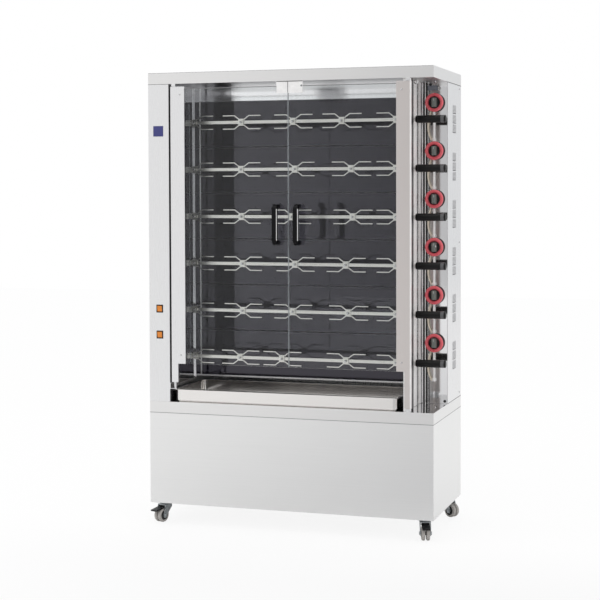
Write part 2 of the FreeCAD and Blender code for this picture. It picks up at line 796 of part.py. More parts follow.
def castor_fork(key):
    """Galvanised fork pressed from one sheet: a crown and two legs that taper to the axle."""
    legs = []
    for side in (1, -1):
        x0 = side * leg_x
        outline = [(x0, crown_half, crown_z), (x0, -crown_half, crown_z), (x0, -trail - hub_r, wheel_r),
                   (x0, -trail - hub_r / 2, wheel_r - hub_r), (x0, -trail + hub_r / 2, wheel_r - hub_r),
                   (x0, -trail + hub_r, wheel_r), (x0, crown_half, crown_z - crown_skirt)]
        legs.append(prism(outline, (side * fork_t, 0, 0)))
    width = leg_x + fork_t
    crown = box(-width, width, -crown_half, crown_half, crown_z, crown_z + fork_t)
    pins = [rod(axle_r, (-leg_x, -trail, wheel_r), (leg_x, -trail, wheel_r))]
    if key in braked:
        pins.append(rod(lever_pin_r, (-leg_x, lever_y, lever_z), (leg_x, lever_y, lever_z)))
    body = crown.multiFuse(legs + pins)
    return body.cut(rod(kingpin_r + run_fit, (0, 0, crown_z - 2), (0, 0, crown_z + 2 * fork_t)))


def castor_wheel():
    """Wheel with its tyre, bored for the axle."""
    half = half_wheels
    wheel = rod(wheel_r, (-half, -trail, wheel_r), (half, -trail, wheel_r))
    return wheel.cut(rod(axle_r + run_fit, (-half - past, -trail, wheel_r), (half + past, -trail, wheel_r)))


def brake_pedal():
    """Foot lever over the wheel, hinged on the fork's cross pin and pressed down at rest."""
    y0 = lever_y + pedal_knuckle
    y1 = lever_y - pedal_len
    z0 = lever_z + pedal_t / 2
    z1 = z0 - pedal_fall
    half = pedal_w / 2
    outline = [(-half, y0, z0 - pedal_t), (-half, y0, z0), (-half, y1, z1), (-half, y1, z1 - pedal_t)]
    tongue = prism(outline, (pedal_w, 0, 0))
    knuckle = bar(pedal_knuckle * 2, (-half, lever_y, lever_z), (half, lever_y, lever_z))
    hole = rod(lever_pin_r + run_fit, (-half - past, lever_y, lever_z), (half + past, lever_y, lever_z))
    return tongue.fuse(knuckle).cut(hole)


# ---------------------------------------------------------------- write the nodes
save("base_cabinet", base_cabinet())
save("base_top", base_top())
save("top_cap", top_cap())
save("drive_column", drive_column())
save("left_lining", left_lining())
save("right_wall", right_wall())
save("back_tiles", *back_tiles())
save("burner_box", burner_box(), *burners())
save("rear_panel", rear_panel())
save("side_panel", side_panel())
save("control_panel", control_panel())
save("valance", valance())
save("door_fittings", *door_fittings())
for name, side in (("left", 1), ("right", -1)):
    save("door_glass_" + name, door_glass(side))
    save("door_stile_" + name, door_stile(side))
    save("door_handle_" + name, door_handle(side))
save("drip_tray", drip_tray())
save("chain_drive", *chain_drive())
save("switch_bezels", *switch_bezels())
for name, rise in zip(("upper", "lower"), switch_heights):
    save("rocker_" + name, rocker(rise))
save("gas_train", gas_train(), *pilot_tubes())
for k in range(spit_count):
    number = str(k + 1)
    save("spit_" + number, *spit(spit_z[k], fork_slip[k]))
    save("spit_grip_" + number, grip(spit_z[k]))
    save("spit_drive_" + number, drive_shaft(spit_z[k]))
    save("gas_knob_" + number, knob(knob_z[k]))
save("castor_plates", *[set_castor(castor_plate(), key) for key in castor_turn])
for key in castor_turn:
    save("castor_fork_" + key, set_castor(castor_fork(key), key))
    save("castor_wheel_" + key, set_castor(castor_wheel(), key))
for key in braked:
    save("brake_pedal_" + key, set_castor(brake_pedal(), key))
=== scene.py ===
import math

import bpy
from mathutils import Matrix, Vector


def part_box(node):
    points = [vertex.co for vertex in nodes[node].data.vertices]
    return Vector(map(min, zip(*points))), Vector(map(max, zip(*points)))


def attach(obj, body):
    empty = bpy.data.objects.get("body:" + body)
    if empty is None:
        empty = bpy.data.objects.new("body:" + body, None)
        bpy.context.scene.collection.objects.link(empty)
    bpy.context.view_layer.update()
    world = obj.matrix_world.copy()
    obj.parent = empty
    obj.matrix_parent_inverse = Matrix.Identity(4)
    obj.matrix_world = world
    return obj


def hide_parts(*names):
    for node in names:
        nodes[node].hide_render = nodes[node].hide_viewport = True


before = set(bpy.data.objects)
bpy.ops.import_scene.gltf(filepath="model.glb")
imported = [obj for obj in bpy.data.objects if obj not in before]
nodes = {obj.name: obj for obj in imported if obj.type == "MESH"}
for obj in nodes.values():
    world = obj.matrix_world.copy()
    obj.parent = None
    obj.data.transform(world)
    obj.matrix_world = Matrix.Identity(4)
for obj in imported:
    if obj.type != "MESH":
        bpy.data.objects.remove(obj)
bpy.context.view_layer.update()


# ---- Studio ----------------------------------------------------------------------------------------------
# A white infinity cove, with the lens to the right of the oven and above its middle. The room is dimmer
# behind the lens and behind the oven, so flat steel falls off in tone from left to right.
def studio_camera():
    """A long lens 1.18 m right of the cupboard, 5.3 m in front of it and 1.31 m up, tipped slightly down."""
    low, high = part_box("base_cabinet")
    bpy.ops.object.camera_add(location=(high.x + 1.183, low.y - 5.296, 1.3146))
    camera = bpy.context.object
    camera.name = "studio_camera"
    yaw = math.radians(17.795)
    dip = math.radians(2.0)
    roll = math.radians(0.163)
    camera.rotation_euler = (math.radians(90) - dip, roll, yaw)
    camera.data.lens = 87.984
    camera.data.sensor_width = 36.0
    camera.data.shift_y = -0.0998
    camera.data.clip_end = 60.0
    bpy.context.scene.camera = camera


def dimming(tree, direction, start, end, tone):
    """White that fades to a tone as the view turns towards a direction: start and end are cosines."""
    coords = tree.nodes.new("ShaderNodeTexCoord")
    facing = tree.nodes.new("ShaderNodeVectorMath")
    facing.operation = "DOT_PRODUCT"
    facing.inputs[1].default_value = Vector(direction).normalized()
    fade = tree.nodes.new("ShaderNodeValToRGB")
    fade.color_ramp.interpolation = "EASE"
    fade.color_ramp.elements[0].position = start
    fade.color_ramp.elements[0].color = (1, 1, 1, 1)
    fade.color_ramp.elements[1].position = end
    fade.color_ramp.elements[1].color = (*tone, 1)
    tree.links.new(coords.outputs["Generated"], facing.inputs[0])
    tree.links.new(facing.outputs["Value"], fade.inputs["Fac"])
    return fade


def studio_world():
    """Pure white to the lens. What the steels mirror is white too, dimmed towards two sides."""
    world = bpy.data.worlds.new("studio_white")
    world.use_nodes = True
    bpy.context.scene.world = world
    tree = world.node_tree
    tree.nodes.clear()
    out = tree.nodes.new("ShaderNodeOutputWorld")
    behind_lens = dimming(tree, (0.26, -0.966, 0.0), 0.79, 0.945, (0.38, 0.38, 0.39))
    behind_oven = dimming(tree, (0.305, 0.952, 0.0), 0.6, 0.95, (0.81, 0.82, 0.83))
    both = tree.nodes.new("ShaderNodeVectorMath")
    both.operation = "MULTIPLY"
    room = tree.nodes.new("ShaderNodeBackground")
    room.inputs["Strength"].default_value = 1.0
    white = tree.nodes.new("ShaderNodeBackground")
    white.inputs["Color"].default_value = (1, 1, 1, 1)
    path = tree.nodes.new("ShaderNodeLightPath")
    mix = tree.nodes.new("ShaderNodeMixShader")
    tree.links.new(behind_lens.outputs["Color"], both.inputs[0])
    tree.links.new(behind_oven.outputs["Color"], both.inputs[1])
    tree.links.new(both.outputs["Vector"], room.inputs["Color"])
    tree.links.new(path.outputs["Is Camera Ray"], mix.inputs["Fac"])
    tree.links.new(room.outputs[0], mix.inputs[1])
    tree.links.new(white.outputs[0], mix.inputs[2])
    tree.links.new(mix.outputs[0], out.inputs["Surface"])


def studio_lamp(name, place, target, size, power):
    """A rectangular softbox, its size in metres, aimed at a target."""
    bpy.ops.object.light_add(type="AREA", location=place)
    lamp = bpy.context.object
    lamp.name = name
    lamp.data.shape = "RECTANGLE"
    lamp.data.size = size[0]
    lamp.data.size_y = size[1]
    lamp.data.energy = power
    aim = Vector(target) - Vector(place)
    lamp.rotation_euler = aim.to_track_quat("-Z", "Y").to_euler()


def studio_floor():
    """White paint with painted shade, greyer in front of the oven and to its right, that glows so no horizon
    shows.
    """
    bpy.ops.mesh.primitive_plane_add(size=24.0, location=(0, 0, -0.0005))
    floor = bpy.context.object
    floor.name = "cove_floor"
    paint = bpy.data.materials.new("cove_paint")
    paint.use_nodes = True
    tree = paint.node_tree
    shader = tree.nodes["Principled BSDF"]
    shader.inputs["Roughness"].default_value = 0.9
    coords = tree.nodes.new("ShaderNodeTexCoord")
    across = tree.nodes.new("ShaderNodeSeparateXYZ")
    fall = tree.nodes.new("ShaderNodeMapRange")
    fall.inputs["From Min"].default_value = -1.5
    fall.inputs["From Max"].default_value = 0.6
    ahead = tree.nodes.new("ShaderNodeMapRange")
    ahead.inputs["From Min"].default_value = -0.2
    ahead.inputs["From Max"].default_value = -0.9
    both = tree.nodes.new("ShaderNodeMath")
    both.operation = "MULTIPLY"
    # Painted shade: the floor's colour greys in front of the oven and to its right.
    fade = tree.nodes.new("ShaderNodeValToRGB")
    fade.color_ramp.elements[0].color = (0.95, 0.95, 0.95, 1)
    fade.color_ramp.elements[1].color = (0.6, 0.6, 0.61, 1)
    tree.links.new(coords.outputs["Object"], across.inputs[0])
    tree.links.new(across.outputs["X"], fall.inputs["Value"])
    tree.links.new(across.outputs["Y"], ahead.inputs["Value"])
    tree.links.new(fall.outputs["Result"], both.inputs[0])
    tree.links.new(ahead.outputs["Result"], both.inputs[1])
    tree.links.new(both.outputs[0], fade.inputs["Fac"])
    tree.links.new(fade.outputs["Color"], shader.inputs["Base Color"])
    glow = tree.nodes.new("ShaderNodeEmission")
    glow.inputs["Color"].default_value = (1, 1, 1, 1)
    glow.inputs["Strength"].default_value = 1.0
    path = tree.nodes.new("ShaderNodeLightPath")
    glow_share = 0.88
    share = tree.nodes.new("ShaderNodeMath")
    share.operation = "MULTIPLY"
    share.inputs[1].default_value = glow_share
    mix = tree.nodes.new("ShaderNodeMixShader")
    tree.links.new(path.outputs["Is Camera Ray"], share.inputs[0])
    tree.links.new(share.outputs[0], mix.inputs["Fac"])
    tree.links.new(shader.outputs[0], mix.inputs[1])
    tree.links.new(glow.outputs[0], mix.inputs[2])
    tree.links.new(mix.outputs[0], tree.nodes["Material Output"].inputs["Surface"])
    floor.data.materials.append(paint)


bpy.ops.object.select_all(action="DESELECT")
bpy.context.scene.view_settings.view_transform = "Standard"
studio_camera()
studio_world()
studio_floor()
studio_lamp("top_softbox", place=(-0.6, -1.0, 4.2), target=(0, 0, 0.9), size=(3.0, 3.0), power=20)


# ---- Sheet-steel casing ----------------------------------------------------------------------------------
# The casing is folded from 2 mm stainless sheet with a fine brushed grain, and the deck's top is polished.
# Every fold and cut edge is broken to a small radius, so each panel is its CAD node with rounded edges.
def loose_copy(node, name):
    """A merged copy of a CAD node's mesh, with its flat faces joined up again."""
    piece = bpy.data.objects.new(name, nodes[node].data.copy())
    bpy.context.collection.objects.link(piece)
    piece.data.materials.clear()
    bpy.ops.object.select_all(action="DESELECT")
    piece.select_set(True)
    bpy.context.view_layer.objects.active = piece
    bpy.ops.object.mode_set(mode="EDIT")
    bpy.ops.mesh.select_all(action="SELECT")
    bpy.ops.mesh.remove_doubles(threshold=0.00002)
    bpy.ops.mesh.dissolve_limited(angle_limit=math.radians(0.5))
    bpy.ops.object.mode_set(mode="OBJECT")
    return piece


def round_edges(piece, width, segments=2, angle=32):
    """Break every edge sharper than angle to a small radius, and shade the result smooth."""
    bpy.context.view_layer.objects.active = piece
    bevel = piece.modifiers.new("broken_edges", "BEVEL")
    bevel.width = width
    bevel.segments = segments
    bevel.limit_method = "ANGLE"
    bevel.angle_limit = math.radians(angle)
    bevel.harden_normals = False
    bpy.ops.object.modifier_apply(modifier=bevel.name)
    bpy.ops.object.select_all(action="DESELECT")
    piece.select_set(True)
    bpy.ops.object.shade_smooth_by_angle(angle=math.radians(40))
    level = piece.modifiers.new("level_faces", "WEIGHTED_NORMAL")
    level.weight = 100
    level.keep_sharp = True
    bpy.ops.object.modifier_apply(modifier=level.name)
    return piece


def settle(piece, body, material, slot, *replaced):
    """Give a finished piece its material and its body, and hide the CAD nodes it stands for. slot is not
    used.
    """
    if material is not None:
        piece.data.materials.clear()
        piece.data.materials.append(material)
    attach(piece, body)
    if replaced:
        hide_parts(*replaced)
    return piece


def grain_group():
    """Brushed grain: fine streaks in tone, roughness and height, from noise that the caller stretches."""
    group = bpy.data.node_groups.new("brushed_grain", "ShaderNodeTree")
    face = group.interface
    face.new_socket("Vector", in_out="INPUT", socket_type="NodeSocketVector")
    face.new_socket("Tone", in_out="INPUT", socket_type="NodeSocketFloat")
    face.new_socket("Roughness", in_out="INPUT", socket_type="NodeSocketFloat")
    face.new_socket("Depth", in_out="INPUT", socket_type="NodeSocketFloat")
    face.new_socket("Color", in_out="INPUT", socket_type="NodeSocketColor")
    face.new_socket("Color", in_out="OUTPUT", socket_type="NodeSocketColor")
    face.new_socket("Roughness", in_out="OUTPUT", socket_type="NodeSocketFloat")
    face.new_socket("Normal", in_out="OUTPUT", socket_type="NodeSocketVector")
    n = group.nodes
    link = group.links.new
    inputs = n.new("NodeGroupInput")
    outputs = n.new("NodeGroupOutput")
    streaks = n.new("ShaderNodeTexNoise")
    streaks.inputs["Scale"].default_value = 1.0
    streaks.inputs["Detail"].default_value = 3.0
    link(inputs.outputs["Vector"], streaks.inputs["Vector"])
    centred = n.new("ShaderNodeMath")
    centred.operation = "SUBTRACT"
    centred.inputs[1].default_value = 0.5
    link(streaks.outputs["Fac"], centred.inputs[0])
    tone = n.new("ShaderNodeMath")
    tone.operation = "MULTIPLY_ADD"
    tone.inputs[2].default_value = 1.0
    link(centred.outputs[0], tone.inputs[0])
    link(inputs.outputs["Tone"], tone.inputs[1])
    shade = n.new("ShaderNodeVectorMath")
    shade.operation = "SCALE"
    link(inputs.outputs["Color"], shade.inputs[0])
    link(tone.outputs[0], shade.inputs["Scale"])
    link(shade.outputs["Vector"], outputs.inputs["Color"])
    rough = n.new("ShaderNodeMath")
    rough.operation = "MULTIPLY_ADD"
    rough.inputs[1].default_value = 0.06
    link(centred.outputs[0], rough.inputs[0])
    link(inputs.outputs["Roughness"], rough.inputs[2])
    link(rough.outputs[0], outputs.inputs["Roughness"])
    bump = n.new("ShaderNodeBump")
    bump.inputs["Distance"].default_value = 0.0002
    link(inputs.outputs["Depth"], bump.inputs["Strength"])
    link(streaks.outputs["Fac"], bump.inputs["Height"])
    link(bump.outputs["Normal"], outputs.inputs["Normal"])
    return group


brushed_grain = grain_group()


def brushed_metal(name, colour, roughness, stretch, tone=0.06, depth=0.15):
    """A metal with brushed grain. stretch is how often the streaks repeat per metre along X, Y and Z."""
    material = bpy.data.materials.new(name)
    material.use_nodes = True
    tree = material.node_tree
    shader = tree.nodes["Principled BSDF"]
    shader.inputs["Metallic"].default_value = 1.0
    coords = tree.nodes.new("ShaderNodeTexCoord")
    mapping = tree.nodes.new("ShaderNodeMapping")
    mapping.inputs["Scale"].default_value = stretch
    grain = tree.nodes.new("ShaderNodeGroup")
    grain.node_tree = brushed_grain
    grain.inputs["Tone"].default_value = tone
    grain.inputs["Roughness"].default_value = roughness
    grain.inputs["Depth"].default_value = depth
    grain.inputs["Color"].default_value = (*colour, 1)
    tree.links.new(coords.outputs["Object"], mapping.inputs["Vector"])
    tree.links.new(mapping.outputs["Vector"], grain.inputs["Vector"])
    tree.links.new(grain.outputs["Color"], shader.inputs["Base Color"])
    tree.links.new(grain.outputs["Roughness"], shader.inputs["Roughness"])
    tree.links.new(grain.outputs["Normal"], shader.inputs["Normal"])
    return material


casing_steel = brushed_metal("casing_stainless", (0.81, 0.805, 0.80), 0.3, (6, 6, 900))
upright_steel = brushed_metal("upright_stainless", (0.805, 0.805, 0.81), 0.28, (900, 900, 6))
polished_steel = brushed_metal("polished_stainless", (0.85, 0.85, 0.855), 0.06, (500, 500, 5),
                               tone=0.03, depth=0.03)
satin_steel = brushed_metal("satin_stainless", (0.82, 0.81, 0.80), 0.2, (700, 700, 5), tone=0.05)
# The cupboard's steel is lighter than the casing's: painted light that makes its front read brighter.
front_steel = brushed_metal("cupboard_stainless", (0.84, 0.84, 0.835), 0.3, (6, 6, 900))
# The hood's steel is lightened to near white as a painted sheen; the lining's rib and the bay's conduit
# share it.
hood_steel = brushed_metal("hood_stainless", (0.98, 0.97, 0.985), 0.08, (900, 900, 4), tone=0.03, depth=0.7)

for node, name, steel, slot in (
        ("base_cabinet", "base_cupboard", front_steel, "stainless"),
        ("base_top", "base_deck", casing_steel, "stainless"),
        ("top_cap", "cabinet_cap", casing_steel, "stainless"),
        ("drive_column", "drive_column_shell", upright_steel, "stainless"),
        ("left_lining", "lining_left", polished_steel, "stainless"),
        ("right_wall", "wall_right", satin_steel, "polished"),
        ("burner_box", "burner_tray", upright_steel, "stainless"),
        ("rear_panel", "rear_cover", upright_steel, "stainless"),
        ("side_panel", "side_cover", upright_steel, "stainless"),
        ("control_panel", "tap_panel", polished_steel, "polished"),
        ("valance", "valance_strip", hood_steel, "polished")):
    panel = round_edges(loose_copy(node, name), 0.0007)
    settle(panel, "root", steel, slot, node)
    if node == "base_top":
        panel.data.materials.append(polished_steel)
        for face in panel.data.polygons:
            looks_up = face.normal.z > 0.99
            if looks_up:
                face.material_index = 1


# ---- Screws and plates of the casing ---------------------------------------------------------------------
# Pan-head screws hold the side cover. A blue enamelled plate sits on the drive column and a grey one above
# the taps, both bare. The side cover's vent slits carry pressed steel grilles, three to each spit.
def alone(piece):
    """Make one piece the only one selected, and the active one."""
    bpy.ops.object.select_all(action="DESELECT")
    piece.select_set(True)
    bpy.context.view_layer.objects.active = piece


def turned(name, profile, steps=40, hollow=False):
    """A lathe-turned shape on the Z axis: one ring drawn up through (radius, height) stations."""
    radius, height = profile[0]
    bpy.ops.object.select_all(action="DESELECT")
    bpy.ops.mesh.primitive_circle_add(vertices=steps, radius=radius, location=(0, 0, height),
                                      fill_type="NOTHING" if hollow else "NGON")
    piece = bpy.context.object
    piece.name = name
    bpy.ops.object.transform_apply(location=True, rotation=True, scale=True)
    bpy.ops.object.mode_set(mode="EDIT")
    bpy.ops.mesh.select_mode(type="VERT")
    bpy.ops.mesh.select_all(action="SELECT")
    for next_radius, next_height in profile[1:] + (profile[:1] if hollow else []):
        bpy.ops.mesh.extrude_region_move(TRANSFORM_OT_translate={"value": (0, 0, next_height - height)})
        grow = next_radius / radius
        bpy.ops.transform.resize(value=(grow, grow, 1), center_override=(0, 0, next_height))
        radius, height = next_radius, next_height
    bpy.ops.mesh.select_all(action="SELECT")
    bpy.ops.mesh.remove_doubles(threshold=0.00001)
    bpy.ops.mesh.normals_make_consistent(inside=False)
    bpy.ops.object.mode_set(mode="OBJECT")
    alone(piece)
    bpy.ops.object.shade_smooth_by_angle(angle=math.radians(36))
    return piece


def block(name, low, high):
    """A plain blank between two corners, to be shaped further."""
    bpy.ops.object.select_all(action="DESELECT")
    bpy.ops.mesh.primitive_cube_add(size=1, location=[(a + b) / 2 for a, b in zip(low, high)],
                                    scale=[b - a for a, b in zip(low, high)])
    piece = bpy.context.object
    piece.name = name
    bpy.ops.object.transform_apply(location=True, rotation=True, scale=True)
    return piece


def set_at(piece, place, turn=(0, 0, 0)):
    """Turn a finished shape about the origin, in degrees, and carry it to its place."""
    alone(piece)
    piece.rotation_euler = [math.radians(a) for a in turn]
    piece.location = place
    bpy.ops.object.transform_apply(location=True, rotation=True, scale=True)
    return piece


def joined(name, pieces):
    """Join loose shapes into one piece under a new name."""
    bpy.ops.object.select_all(action="DESELECT")
    for part in pieces:
        part.select_set(True)
    bpy.context.view_layer.objects.active = pieces[0]
    bpy.ops.object.join()
    pieces[0].name = name
    return pieces[0]


FACING_FRONT = (90, 0, 0)
FACING_BACK = (-90, 0, 0)
FACING_RIGHT = (0, 90, 0)


def pan_head(name, place, facing):
    """Pan-head screw, 7 mm across, with a driver recess."""
    head = turned(name, [(0.0036, 0.0), (0.0036, 0.0008), (0.0032, 0.0016), (0.0022, 0.0021),
                         (0.0012, 0.0022), (0.0009, 0.0012)], 20)
    return set_at(head, place, facing)


cover_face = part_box("side_panel")[1].x
column_low, column_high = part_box("drive_column")
panel_low, panel_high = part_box("control_panel")
screw_zinc = brushed_metal("bright_screws", (0.62, 0.62, 0.62), 0.25, (400, 400, 400))
COVER_SCREW_DEPTHS = (0.469, 0.03)
COVER_SCREW_HEIGHTS = (1.709, 1.1, 0.50)
cover_screws = [pan_head("screw", (cover_face, column_low.y + depth, z), FACING_RIGHT)
                for depth in COVER_SCREW_DEPTHS for z in COVER_SCREW_HEIGHTS]
settle(joined("cover_screws", cover_screws), "root", screw_zinc, "stainless")


def plain_material(name, colour, roughness, coat=0.0, metallic=0.0, speck=0.0, specular=0.5):
    """A moulded or glazed finish with faint mottling in its roughness and tone."""
    material = bpy.data.materials.new(name)
    material.use_nodes = True
    tree = material.node_tree
    shader = tree.nodes["Principled BSDF"]
    shader.inputs["Metallic"].default_value = metallic
    shader.inputs["Coat Weight"].default_value = coat
    shader.inputs["Specular IOR Level"].default_value = specular
    coords = tree.nodes.new("ShaderNodeTexCoord")
    mapping = tree.nodes.new("ShaderNodeMapping")
    mapping.inputs["Scale"].default_value = (60, 60, 60)
    grain = tree.nodes.new("ShaderNodeGroup")
    grain.node_tree = brushed_grain
    grain.inputs["Tone"].default_value = 0.25
    grain.inputs["Roughness"].default_value = roughness
    grain.inputs["Depth"].default_value = speck
    grain.inputs["Color"].default_value = (*colour, 1)
    tree.links.new(coords.outputs["Object"], mapping.inputs["Vector"])
    tree.links.new(mapping.outputs["Vector"], grain.inputs["Vector"])
    tree.links.new(grain.outputs["Color"], shader.inputs["Base Color"])
    tree.links.new(grain.outputs["Roughness"], shader.inputs["Roughness"])
    tree.links.new(grain.outputs["Normal"], shader.inputs["Normal"])
    return material


def mark_plate(name, x, z, width, height, face_y):
    """A thin bare plate with a plain margin, stuck on a face that looks to the front."""
    plate = block(name, (x, face_y - 0.0007, z), (x + width, face_y, z + height))
    bpy.ops.object.mode_set(mode="EDIT")
    bpy.ops.mesh.select_all(action="SELECT")
    bpy.ops.mesh.inset(thickness=0.0012, use_individual=True)
    bpy.ops.object.mode_set(mode="OBJECT")
    return round_edges(plate, 0.0002)


blue_enamel = plain_material("blue_enamel", (0.045, 0.05, 0.21), 0.3)
grey_print = plain_material("grey_anodised", (0.20, 0.215, 0.25), 0.35)
blue_plate = mark_plate("blue_plate", -0.5574, 1.5207, 0.0412, 0.0408, column_low.y)
settle(blue_plate, "root", blue_enamel, None)
grey_plate = mark_plate("grey_plate", panel_high.x - 0.0811, 1.692, 0.0434, 0.019, panel_low.y)
settle(grey_plate, "root", grey_print, None)
vent_grey = plain_material("vent_mesh", (0.30, 0.30, 0.31), 0.5)
slat_grey = plain_material("vent_slats", (0.62, 0.62, 0.63), 0.4, metallic=0.3)
GRILLE_FRONT = column_low.y + 0.340
GRILLE_BACK = GRILLE_FRONT + 0.062
GRILLE_HEIGHT = 0.031
GRILLE_PITCH = 0.0375
TOP_GRILLE_ABOVE_SPIT = 0.0318
GRILLES = 3
SLATS = 6
SLAT_HALF = 0.0013
grip_boxes = [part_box("spit_grip_" + number) for number in "123456"]
spit_heights = [(low.z + high.z) / 2 for low, high in grip_boxes]
for number, spit_height in zip("123456", spit_heights):
    plates, slats = [], []
    for row in range(GRILLES):
        foot = spit_height + TOP_GRILLE_ABOVE_SPIT - row * GRILLE_PITCH
        plates.append(block("plate", (cover_face - 0.0004, GRILLE_FRONT, foot),
                            (cover_face + 0.0001, GRILLE_BACK, foot + GRILLE_HEIGHT)))
        for n in range(SLATS):
            z = foot + (n + 0.5) * GRILLE_HEIGHT / SLATS
            slats.append(block("slat", (cover_face - 0.0002, GRILLE_FRONT, z - SLAT_HALF),
                               (cover_face + 0.0004, GRILLE_BACK, z + SLAT_HALF)))
    settle(joined("vent_plates_" + number, plates), "root", vent_grey, None)
    settle(round_edges(joined("vent_slats_" + number, slats), 0.0003), "root", slat_grey, None)


# ---- Seams of the casing ---------------------------------------------------------------------------------
# Painted shade marks where the folded sheets meet: dark beside the column, over the doors' inner corners and
# along the right side, soft and grey at the deck's foot, over the column and on the cap's front edge.
seam_shade_dark = plain_material("seam_shadow", (0.03, 0.03, 0.032), 0.6)
grey_seal_and_seam_shade = plain_material("grey_seal_and_seam_shade", (0.22, 0.22, 0.225), 0.5)
case_low, case_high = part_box("top_cap")
deck_low, deck_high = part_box("base_top")
PROUD = 0.0002
DOORS_MEET = (-0.0489, 0.0554)
seams = (
    ("seam_cap_side", seam_shade_dark,
     (case_high.x, panel_low.y, case_low.z - 0.0022), (case_high.x + PROUD, case_high.y, case_low.z)),
    ("seam_deck_side", seam_shade_dark,
     (case_high.x, panel_low.y, deck_high.z), (case_high.x + PROUD, case_high.y, deck_high.z + 0.0018)),
    ("seam_foot_side", grey_seal_and_seam_shade,
     (case_high.x, deck_low.y, deck_low.z - 0.001), (case_high.x + PROUD, deck_high.y, deck_low.z + 0.001)),
    ("seam_foot_front", grey_seal_and_seam_shade,
     (deck_low.x, deck_low.y - PROUD, deck_low.z - 0.001), (deck_high.x, deck_low.y, deck_low.z + 0.001)),
    ("seam_cap_hinge", seam_shade_dark,
     (DOORS_MEET[0], case_low.y - PROUD, case_low.z - 0.002),
     (DOORS_MEET[1], case_low.y, case_low.z - 0.0003)),
    ("seam_column_door", seam_shade_dark,
     (column_high.x, column_low.y + 0.0005, deck_high.z + 0.002),
     (column_high.x + 0.0012, column_low.y + 0.018, case_low.z - 0.002)),
    ("seam_cap_column", grey_seal_and_seam_shade,
     (column_low.x, column_low.y - PROUD, case_low.z - 0.0015), (column_high.x, column_low.y, case_low.z)),
    ("seam_cap_front", grey_seal_and_seam_shade,
     (case_low.x + 0.001, case_low.y - PROUD, case_high.z - 0.0016),
     (case_high.x - 0.001, case_low.y, case_high.z - 0.0004)))
# Every strip here is painted shade, standing in for the shadow in a gap.
for name, finish, low, high in seams:
    settle(round_edges(block(name, low, high), 0.00008), "root", finish, None)


# ---- Trims of the tap bay --------------------------------------------------------------------------------
# The bay right of the chamber has a dark strip of painted shade and two white strips of painted highlight
# up its left wall, and a bright conduit between strips of painted shade in its inner corner. A cable gland
# and two plugs close holes at its ends.
# This black is real on the plugs and painted shade on the bay's strips; the white is painted highlight on
# the bay's strips.
black_rubber_and_shade = plain_material("black_rubber_and_shade", (0.02, 0.02, 0.021), 0.6)
white_enamel_and_highlight = plain_material("white_enamel_and_highlight", (0.97, 0.96, 0.95), 0.35)
CAP_DEPTH = 0.044
wall_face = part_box("right_wall")[1].x
bay_foot = deck_high.z
bay_head = case_high.z - CAP_DEPTH
front_y = column_low.y


def upright_trim(name, depth, width, proud, finish, slot):
    """A strip up the wall's outer face, from the deck to the cap, a given depth behind the front."""
    strip = block(name, (wall_face, front_y + depth, bay_foot + 0.001),
                  (wall_face + proud, front_y + depth + width, bay_head - 0.001))
    settle(round_edges(strip, 0.0004), "root", finish, slot)


def corner_trim(name, left, width, proud, corner, finish):
    """A strip up the tap panel, set off to the left of the panel's right edge."""
    strip = block(name, (panel_high.x - left, panel_low.y - proud, bay_foot + 0.001),
                  (panel_high.x - left + width, panel_low.y, bay_head - 0.001))
    settle(round_edges(strip, corner, 3), "root", finish, None)


# The dark strips here are painted shade and the white ones painted highlight.
upright_trim("bay_gap_shade", depth=0.100, width=0.023, proud=0.002, finish=black_rubber_and_shade, slot=None)
upright_trim("bay_highlight_front", depth=0.124, width=0.056, proud=0.0015, finish=white_enamel_and_highlight, slot="stainless")
upright_trim("bay_highlight_back", depth=0.219, width=0.026, proud=0.003, finish=white_enamel_and_highlight, slot="stainless")
corner_trim("bay_shade_strip_left", left=0.1040, width=0.0032, proud=0.0015, corner=0.0004, finish=black_rubber_and_shade)
corner_trim("bay_conduit", left=0.1006, width=0.0060, proud=0.0040, corner=0.0012, finish=hood_steel)
corner_trim("bay_shade_strip", left=0.0943, width=0.0056, proud=0.0015, corner=0.0004, finish=black_rubber_and_shade)
corner_trim("bay_shade_strip_right", left=0.0848, width=0.0080, proud=0.0015, corner=0.0004, finish=black_rubber_and_shade)

gland_profile = [(0.0055, 0.0), (0.0095, 0.0), (0.0100, 0.0006), (0.0100, 0.0050), (0.0085, 0.0070),
                 (0.0070, 0.0100), (0.0055, 0.0100)]
gland = turned("bay_gland", gland_profile, 32, hollow=True)
gland_place = (panel_high.x - 0.078, front_y + 0.06, bay_head - 0.0105)
settle(set_at(gland, gland_place, FACING_FRONT), "root", screw_zinc, "stainless")

plug_profile = [(0.0052, 0.0), (0.0055, 0.0006), (0.0052, 0.0024), (0.0034, 0.0034), (0.0010, 0.0036)]
plug_places = ((panel_high.x - 0.0653, panel_low.y, 1.716),
               (panel_high.x - 0.0095, panel_low.y, bay_foot + 0.010))
plugs = [set_at(turned("plug", plug_profile, 24), place, FACING_FRONT) for place in plug_places]
settle(joined("bay_plugs", plugs), "root", black_rubber_and_shade, None)


